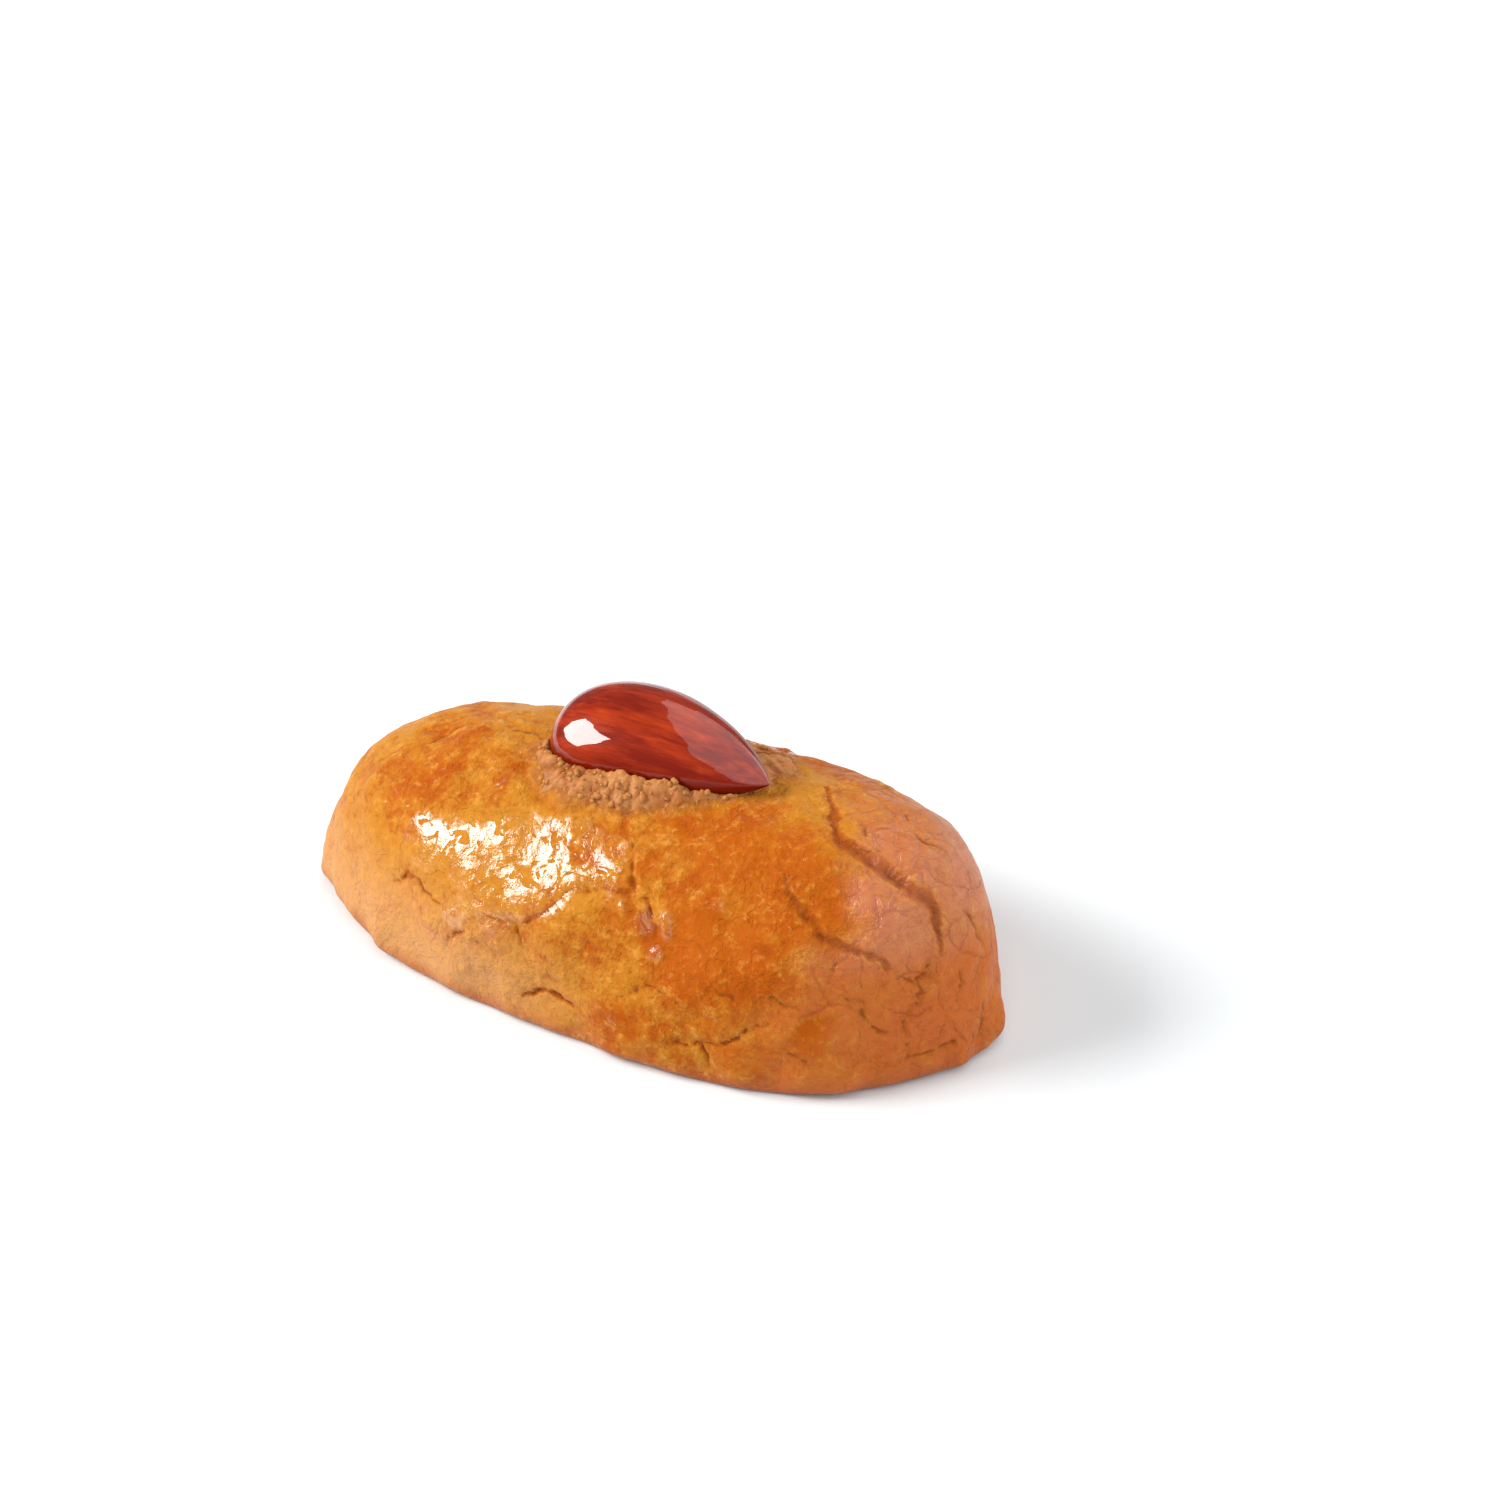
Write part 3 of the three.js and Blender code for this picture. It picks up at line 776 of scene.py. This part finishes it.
class Recipe:
    """A material with one surface, and the nodes that vary it. In a socket's name, _ stands for a space."""

    def __init__(self, name, **sockets):
        self.material = bpy.data.materials.new(name)
        self.material.use_nodes = True
        self.tree = self.material.node_tree
        self.surface = self.tree.nodes["Principled BSDF"]
        self.place = self.node("TexCoord", output="Object")
        self.finish(**sockets)

    def node(self, kind, settings=None, inputs=None, output=0):
        made = self.tree.nodes.new("ShaderNode" + kind)
        for name, value in (settings or {}).items():
            setattr(made, name, value)
        for name, value in (inputs or {}).items():
            self.feed(made.inputs[name], value)
        return Value(self, made.outputs[output])

    def feed(self, socket, value):
        if isinstance(value, Value):
            self.tree.links.new(value.socket, socket)
        elif hasattr(value, "__len__") and len(value) == 3 and socket.type == "RGBA":
            socket.default_value = (*value, 1)
        else:
            socket.default_value = value

    def axes(self):
        """The piece's own X, Y and Z at each place."""
        split = self.node("SeparateXYZ", None, {"Vector": self.place}).socket.node
        return [Value(self, socket) for socket in split.outputs]

    def noise(self, size, detail=3, rough=0.5, place=None, distortion=0):
        """Noise whose lumps are about size across, in metres."""
        inputs = {"Scale": LUMPS / size, "Detail": detail, "Roughness": rough, "Distortion": distortion}
        return self.node("TexNoise", None, {"Vector": place or self.place, **inputs}, "Fac")

    def warped(self, size, reach):
        """This piece's coordinates, pushed about by up to half the reach."""
        inputs = {"Vector": self.place, "Scale": LUMPS / size, "Detail": 3}
        bend = self.node("TexNoise", None, inputs, "Color")
        bend = self.node("VectorMath", {"operation": "SUBTRACT"}, {0: bend, 1: (0.5, 0.5, 0.5)})
        bend = self.node("VectorMath", {"operation": "SCALE"}, {0: bend, "Scale": reach})
        return self.node("VectorMath", {"operation": "ADD"}, {0: self.place, 1: bend})

    def plates(self, size, place):
        """How far each place is from the nearest edge of a network of cracks."""
        inputs = {"Vector": place, "Scale": 1 / size}
        return self.node("TexVoronoi", {"feature": "DISTANCE_TO_EDGE"}, inputs)

    def mask(self, name):
        return self.node("Attribute", {"attribute_name": name}, None, "Fac")

    def mix(self, a, b, factor):
        return self.node("Mix", {"data_type": "RGBA"}, {"Factor": factor, 6: a, 7: b}, 2)

    def bump(self, height, strength, distance):
        return self.node("Bump", None, {"Strength": strength, "Distance": distance, "Height": height})

    def finish(self, **sockets):
        for socket, value in sockets.items():
            self.feed(self.surface.inputs[socket.replace("_", " ")], value)
        return self.material

    def cover(self, skin, share):
        """Shows a second surface over the first, by a share that varies over the piece."""
        first = Value(self, self.surface.outputs[0])
        both = self.node("MixShader", None, {"Fac": share, 1: first, 2: skin})
        self.feed(self.tree.nodes["Material Output"].inputs["Surface"], both)
        return self.material


def crust_material(dough):
    """Baked dough, golden, amber or brown by place, mixed with the same dough under a skin of dried syrup."""
    r = Recipe(
        "glazed_crust",
        IOR=1.45,
        Specular_IOR_Level=0.08,
        Sheen_Weight=0.12,
        Sheen_Roughness=0.35,
        Subsurface_Weight=0.1,
        Subsurface_Radius=(1.0, 0.35, 0.1),
        Subsurface_Scale=0.001,
    )
    crack, core, crumb, crackled, amber, brown, glazed, pebbly, grit, bead = (
        r.mask(m)
        for m in ("crack", "core", "crumb", "crackled", "amber", "brown", "glazed", "pebbly", "grit", "bead")
    )
    along, _, up = r.axes()
    # Unevenness of every size, and the hair cracks between small plates.
    broad = r.noise(8 * MM, 4, 0.55) - 0.5
    blotch = r.noise(3 * MM, 5, 0.6, distortion=0.4) - 0.5
    fine = r.noise(0.8 * MM, 4, 0.6) - 0.5
    speck = r.noise(0.3 * MM, 3, 0.6) - 0.5
    pit = r.noise(1.3 * MM, 3, 0.6, distortion=1.5).over(0.46, 0.4)
    mottle = fine * 1.1 + speck * 0.8 + grit * 0.2
    plates = r.plates(4.6 * MM, r.warped(3.5 * MM, 4.5 * MM))
    hair = (1 - plates.over(0.005, 0.05)) * crackled * (blotch * 1.5 + fine * 1.5).over(-0.2, 0.2)
    # Where the crust is stained by syrup, baked brown, or paler and pinker low on the left end, which is
    # partly unsoaked dough and partly painted sheen and light.
    stained = along.over(-16 * MM, 4 * MM)
    thick = (amber * 0.6 + stained * 0.3 + broad * 1.2 + blotch * 1.6 - mottle * 0.5).over(0.05, 0.9)
    baked = (brown * 0.9 + broad * 0.5 - mottle * 0.3).over(0.2, 0.95)
    # Paler low on the left end: partly unsoaked dough, partly painted sheen and light.
    dry_and_sheen = (1 - stained) * (1 - up.over(3 * MM, 15 * MM))
    # Darker in the lowest 3 mm, where the foot turns under: painted shade.
    foot = 1 - up.over(0.2 * MM, 3.2 * MM)
    lip = crack.over(0.03, 0.3) * (1 - crack.over(0.45, 0.9)) * mottle.over(-0.05, 0.15)
    # The crumb is specked with painted shade and painted light of grains.
    grainy = r.mix(dough.crumb, CRUMB_SHADE_SPECKS, fine.over(0, 0.22) * 0.7)
    grainy = r.mix(grainy, CRUMB_LIGHT_SPECKS, speck.over(0, 0.22) * 0.7)
    colour = dough.golden
    for paint, share in (
        (dough.amber, thick),
        (DEEP_SYRUP, thick * (blotch * 2 - mottle).over(-0.15, 0.5) * 0.75),
        (dough.brown, baked * 0.9),
        # Painted sheen and light, with paler unsoaked dough, low on the left end.
        (PALE_DOUGH_AND_SHEEN, dry_and_sheen * 0.5),
        # Painted shade along the foot.
        (FOOT_SHADE, foot * 0.8),
        (LIGHT_GRIT, mottle.over(0.03, 0.33) * (1 - baked * 0.85) * (0.7 - thick * 0.35)),
        (DARK_GRIT, mottle.over(-0.03, -0.33) * (0.65 - dry_and_sheen * 0.45)),
        (HAIR_CRACK, hair * 0.7),
        (CRACK_LIP, lip * 0.55),
        (dough.crack, crack.over(0.25, 0.65) * 0.9),
        # Painted shade down the middle of each crack.
        (CRACK_CORE_SHADE, core * 0.6),
        (grainy, crumb),
    ):
        colour = r.mix(colour, paint, share)
    # Where the syrup shines: bright skin and beads, sparkles in the pools, and a soft bloom on the plates.
    wet = ((glazed + blotch * 2.2 + fine * 0.8).over(0.3, 0.7) * (1 - pit)).at_least(bead)
    sparkle = speck.over(0.14, 0.24) * amber.over(0.1, 0.6)
    bloom = (brown * 0.9 + broad * 0.8).over(0.2, 0.9) * (0.1 + up.over(12 * MM, 18 * MM) * 0.9)
    syrup = wet.at_least(sparkle).at_least(bloom) * (1 - crumb) * (1 - crack * 0.7)
    rough = 0.4 - wet * 0.335 * (1 - speck.over(0.08, 0.16) * 0.8) - sparkle * 0.25 + speck * 0.12
    relief = fine * (0.9 + crumb * 2 + pebbly * 0.8) + speck * (0.5 + pebbly * 0.4)
    rounded = crackled * plates.over(0, 0.14) * 0.35 - hair * 0.25
    bump = r.bump(rounded + relief * (1 - wet * 0.65) - pit * 0.3, 0.8, 0.3 * MM)
    r.finish(Base_Color=colour, Roughness=0.6 + speck * 0.2, Normal=bump)
    skin = {"IOR": 1.5, "Specular IOR Level": 0.9, "Base Color": colour, "Roughness": rough, "Normal": bump}
    return r.cover(r.node("BsdfPrincipled", None, skin), syrup)


def almond_material(almond):
    """Brown almond skin, veined from end to end and darkened low down by painted shade, under a thick clear
    glaze that thins out low down.
    """
    r = Recipe("glazed_almond", IOR=1.5, Specular_IOR_Level=0.05, Coat_Roughness=0.025, Coat_IOR=1.6)
    vein, low = r.mask("vein"), r.mask("low")
    lie = tuple(Euler(almond.lie, "XYZ").to_matrix().inverted().to_euler())
    along = r.node("Mapping", None, {"Vector": r.place, "Scale": (0.14, 1, 1), "Rotation": lie})
    streak = r.noise(0.8 * MM, 4, 0.6, along) - 0.5
    thread = r.noise(0.28 * MM, 3, 0.6, along) - 0.5
    blotch = r.noise(5 * MM, 3, 0.5) - 0.5
    bright = (streak * 1.25 + thread * 0.9 + vein * 0.25 + blotch * 0.8).over(-0.25, 0.45)
    colour = r.mix(almond.dark, almond.bright, bright)
    colour = r.mix(colour, ALMOND_THREADS, (thread * 1.5 + streak).over(0.18, 0.5) * 0.4)
    # Painted shade on the almond's lower side.
    colour = r.mix(colour, ALMOND_UNDERSIDE_SHADE, low * 0.8)
    bump = r.bump(streak + thread * 0.5, 0.6, 0.12 * MM)
    return r.finish(
        Base_Color=colour, Roughness=0.28 + streak * 0.2, Coat_Weight=1 - low * 0.85, Normal=bump
    )


def crumb_material(dough):
    """Bare crumb: beige, lighter on the grains' tops and dark brown in the gaps between them, as painted
    light and painted shade.
    """
    r = Recipe("bare_crumb", IOR=1.4, Specular_IOR_Level=0.3, Subsurface_Weight=0.3, Subsurface_Scale=0.001)
    deep = r.mask("deep")
    blotch = r.noise(2.2 * MM, 3, 0.6)
    speck = r.noise(0.3 * MM, 3, 0.6) - 0.5
    # Painted light on the tops of the grains.
    colour = r.mix(dough.crumb, GRAIN_TOP_LIGHT, (blotch * 1.5 - deep).over(0.2, 0.7) * 0.5)
    colour = r.mix(colour, GRAIN_SPECKS, speck.over(0, 0.2) * 0.5)
    # Painted shade in the gaps between the grains.
    colour = r.mix(colour, GRAIN_GAP_SHADE, deep.over(0.35, 1) * 0.85)
    return r.finish(Base_Color=colour, Roughness=0.5 + speck * 0.4, Normal=r.bump(speck, 0.6, 0.1 * MM))


def floor_material():
    """Smooth white card."""
    r = Recipe("white_card", Roughness=0.9, Specular_IOR_Level=0.1)
    return r.finish(Base_Color=r.mix(*WHITE_CARD, r.noise(0.05)))


# --- operators ----------------------------------------------------------------------------------------------


class COOKIE_OT_crust(Operator):
    """Add the loaf of dough with its cracked crust"""

    bl_idname = "cookie.crust"
    bl_label = "Crust"

    def execute(self, context):
        dough, almond = context.scene.cookie_dough, context.scene.cookie_almond
        bm, ball = unit_ball(CRUST_CUTS)
        p, masks = crust_points(ball, dough, almond)
        move_to(bm, (p + part_shift(almond)) * MM)
        keep_masks(bm, masks)
        underside = [f for f in bm.faces if all(v.co.z < 1e-7 for v in f.verts)]
        bmesh.ops.dissolve_faces(bm, faces=underside, use_verts=False)
        add_piece("crust", bm, crust_material(dough), "cookie")
        return {"FINISHED"}


class COOKIE_OT_almond(Operator):
    """Add the glazed almond"""

    bl_idname = "cookie.almond"
    bl_label = "Almond"

    def execute(self, context):
        almond = context.scene.cookie_almond
        bm = almond_ball(*ALMOND_CUTS)
        ball = points_of(bm)
        p, veins = almond_points(ball, almond)
        move_to(bm, (p + part_shift(almond)) * MM)
        # The mask low marks the almond's lower side, which its material darkens with painted shade and gives
        # less glaze.
        level = np.sin(np.arctan2(ball[:, 2], np.abs(ball[:, 1])))
        keep_masks(bm, {"vein": veins, "low": 1 - smoothstep(level, 0.3, 0.7)})
        add_piece("glazed_almond", bm, almond_material(almond), "almond")
        return {"FINISHED"}


class COOKIE_OT_crumbs(Operator):
    """Add the collar of crumb round the almond and the loose grains on it"""

    bl_idname = "cookie.crumbs"
    bl_label = "Crumbs"

    def execute(self, context):
        dough, almond = context.scene.cookie_dough, context.scene.cookie_almond
        shift = part_shift(almond)
        band = self.band(dough, almond, bpy.data.objects["crust"], shift)
        self.loose(dough, almond, band, shift)
        return {"FINISHED"}

    def band(self, dough, almond, crust, shift):
        """A band of crumb all round, its top lumpy with grains and its edges under the crust."""
        bm = unit_ring(*BAND_CUTS)
        x, y, z = points_of(bm).T
        across, turn = np.hypot(x, y) - RING, np.arctan2(y, x)
        across = np.clip(across * 1.02, -1, 1)
        around = np.stack([9 * np.cos(turn), 9 * np.sin(turn), 0 * turn], axis=1)
        outer = BAND_EDGE + layers(around, (0.07, 1.6, 71), (0.04, 0.6, 72))
        plan = collar_plan(BAND_HOLE + (outer - BAND_HOLE) * (across + 1) / 2, turn)
        ground = np.array([self.drop(crust, spot)[1].z / MM for spot in plan + shift[:2]])
        place = np.column_stack([plan, ground])
        front = 1 - smoothstep(np.cos(turn + np.pi / 2 - 0.2), 1, 0.2)
        front *= smoothstep(across, 0.9, -0.2)
        flattened = place * (1, 1, 0.4)
        dome = 0.85 * front + 0.6 * cap(grains(flattened, 1.25, 73) / 0.75)
        dome += 0.34 * cap(grains(flattened, 0.55, 76) / 0.8)
        dome += layers(place, (0.35, 2.2, 79), (0.1, 0.35, 80))
        swelling = np.sqrt(np.maximum(1 - np.abs(across) ** 3, 0))
        top = 0.12 + 0.8 * dome
        place[:, 2] += swelling * np.where(z > 1e-4, top, -0.8) - 0.3
        move_to(bm, (seat(place, almond, 0.05) + shift) * MM)
        # How low each place lies between the grains, which the crumb's material darkens as painted shade.
        keep_masks(bm, {"deep": 1 - np.clip(dome - 0.5 * front, 0, 1)})
        return add_piece("collar_crumb", bm, crumb_material(dough))

    def loose(self, dough, almond, band, shift):
        """Grains scattered over the band, closest together in front of the almond."""
        rng = random.Random(3)
        turns = np.array(
            [-math.pi / 2 + math.pi * rng.uniform(-1, 1) * rng.random() ** 0.6 for _ in range(dough.crumbs)]
        )
        shares = np.array([rng.uniform(*LOOSE_BAND) for _ in turns])
        bm = bmesh.new()
        for spot in collar_plan(shares, turns) + shift[:2]:
            hit, place, normal, _ = self.drop(band, spot)
            radius = dough.grain / 2 * rng.uniform(0.45, 1.15)
            squash = [rng.uniform(0.7, 1.3) for _ in range(3)]
            if not hit:
                continue
            _, y, z = into_almond(np.array([np.array(place) / MM - shift]), almond)[0]
            under_almond = z < -1.2 and abs(y) < almond.width / MM / 2
            if under_almond:
                continue
            grain = bmesh.ops.create_icosphere(bm, subdivisions=1, radius=radius)["verts"]
            for vert in grain:
                vert.co *= rng.uniform(0.75, 1.2)
            spin = Euler([rng.uniform(0, 6) for _ in range(3)]).to_matrix().to_4x4()
            matrix = Matrix.Translation(place - normal * radius * 0.1) @ spin @ Matrix.Diagonal((*squash, 1))
            bmesh.ops.transform(bm, verts=grain, matrix=matrix)
        # Loose grains count as high, so they get none of the painted gap shade.
        keep_masks(bm, {"deep": np.full(len(bm.verts), 0.1)})
        add_piece("loose_crumbs", bm, crumb_material(dough))

    def drop(self, piece, spot):
        """Where something dropped on a piece at a place in plan, in mm, lands on it."""
        return piece.ray_cast(Vector((*spot, OVERHEAD)) * MM, Vector((0, 0, -1)))


class COOKIE_OT_studio(Operator):
    """Add the camera, the white floor and the lights"""

    bl_idname = "cookie.studio"
    bl_label = "Studio"

    def execute(self, context):
        studio = context.scene.cookie_studio
        self.camera(context, studio, part_shift(context.scene.cookie_almond))
        self.floor(context)
        for name, place, size, aim, roll, colour in LIGHTS:
            self.light(context, name, place, size, aim, roll, colour, getattr(studio, name))
        world = bpy.data.worlds.new("room")
        world.use_nodes = True
        surround = world.node_tree.nodes["Background"]
        surround.inputs["Color"].default_value = (1, 1, 1, 1)
        surround.inputs["Strength"].default_value = studio.surround
        context.scene.world = world
        context.scene.view_settings.view_transform = "Standard"
        return {"FINISHED"}

    def camera(self, context, studio, shift):
        a, e = studio.azimuth, studio.elevation
        back = Vector((math.sin(a) * math.cos(e), -math.cos(a) * math.cos(e), math.sin(e)))
        right = Vector((math.cos(a), math.sin(a), 0))
        up = back.cross(right)
        target = (Vector(VIEWED) + Vector(shift)) * MM
        aim = target + (right * FRAMING[0] + up * FRAMING[1]) * MM
        camera = bpy.data.objects.new("camera", bpy.data.cameras.new("camera"))
        camera.data.lens = studio.lens
        camera.data.sensor_width = 36
        camera.data.clip_end = 20
        camera.location = target + back * studio.distance
        camera.rotation_euler = (aim - camera.location).to_track_quat("-Z", "Y").to_euler()
        context.collection.objects.link(camera)
        context.scene.camera = camera

    def floor(self, context):
        bm = bmesh.new()
        bmesh.ops.create_grid(bm, x_segments=4, y_segments=4, size=3)
        mesh = bpy.data.meshes.new("floor")
        bm.to_mesh(mesh)
        bm.free()
        mesh.materials.append(floor_material())
        floor = bpy.data.objects.new("floor", mesh)
        context.collection.objects.link(floor)

    def light(self, context, name, place, size, aim, roll, colour, power):
        data = bpy.data.lights.new(name, "AREA")
        data.shape = "RECTANGLE"
        data.size, data.size_y = size
        data.energy = power
        data.color = colour
        lamp = bpy.data.objects.new(name, data)
        lamp.location = place
        facing = (Vector(aim) - Vector(place)).to_track_quat("-Z", "Y")
        lamp.rotation_euler = (facing @ Quaternion((0, 0, 1), roll)).to_euler()
        context.collection.objects.link(lamp)


class COOKIE_PT_panel(Panel):
    """Lists the cookie's pieces"""

    bl_idname = "COOKIE_PT_panel"
    bl_label = "Syrup-soaked cookie"
    bl_space_type = "VIEW_3D"
    bl_region_type = "UI"
    bl_category = "Cookie"

    def draw(self, context):
        column = self.layout.column()
        for operator in OPERATORS:
            column.operator(operator.bl_idname)


OPERATORS = (COOKIE_OT_crust, COOKIE_OT_almond, COOKIE_OT_crumbs, COOKIE_OT_studio)
SETTINGS = {"cookie_dough": DoughSettings, "cookie_almond": AlmondSettings, "cookie_studio": StudioSettings}


def register():
    for cls in (*SETTINGS.values(), *OPERATORS, COOKIE_PT_panel):
        bpy.utils.register_class(cls)
    for name, cls in SETTINGS.items():
        setattr(bpy.types.Scene, name, PointerProperty(type=cls))


def unregister():
    for name in SETTINGS:
        delattr(bpy.types.Scene, name)
    for cls in (COOKIE_PT_panel, *reversed(OPERATORS), *reversed(SETTINGS.values())):
        bpy.utils.unregister_class(cls)


def main():
    register()
    bpy.ops.cookie.crust()
    bpy.ops.cookie.almond()
    bpy.ops.cookie.crumbs()
    bpy.ops.cookie.studio()


if __name__ == "__main__":
    main()
